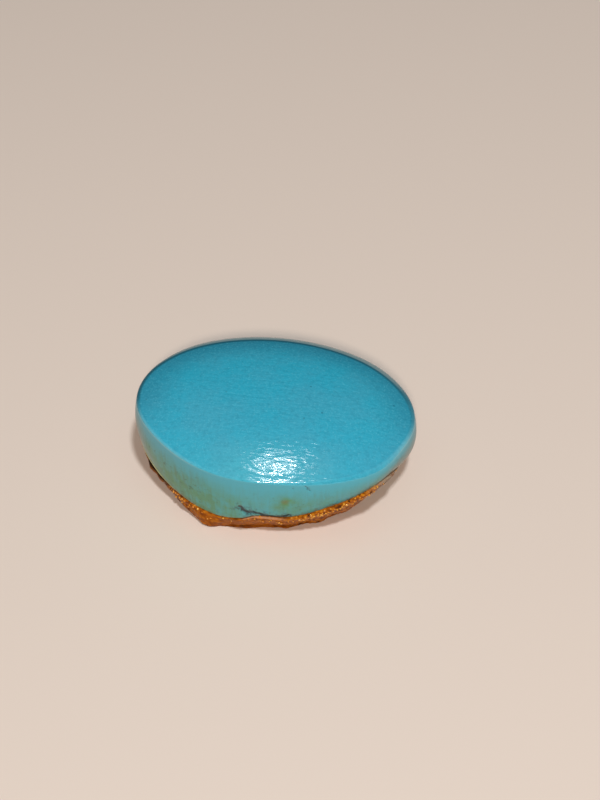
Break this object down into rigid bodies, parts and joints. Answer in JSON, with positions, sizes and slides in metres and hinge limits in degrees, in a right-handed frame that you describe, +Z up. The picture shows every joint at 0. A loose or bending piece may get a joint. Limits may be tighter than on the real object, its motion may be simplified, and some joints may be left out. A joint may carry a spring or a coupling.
{
  "type": "turquoise nugget, half worked stone",
  "caption": "Turquoise stone with a polished low-domed oval face, a ground upright side and the rough brown ironstone rind it grew on left underneath.",
  "frame": {"origin": "on the ground, under the middle of the stone's length and width", "axes": "+X along the long axis of the oval, towards the end where the face is lower and the rind is cut away most; +Y to the back; +Z up, out of the polished face"},
  "size_m": [0.0306, 0.0224, 0.0106],
  "materials": {
    "turquoise": "polished sky-blue turquoise face, ground green-stained side, glossy rough brown limonite rind below"
  },
  "bodies": {
    "root": {"turquoise_nugget": "turquoise"}
  },
  "joints": []
}
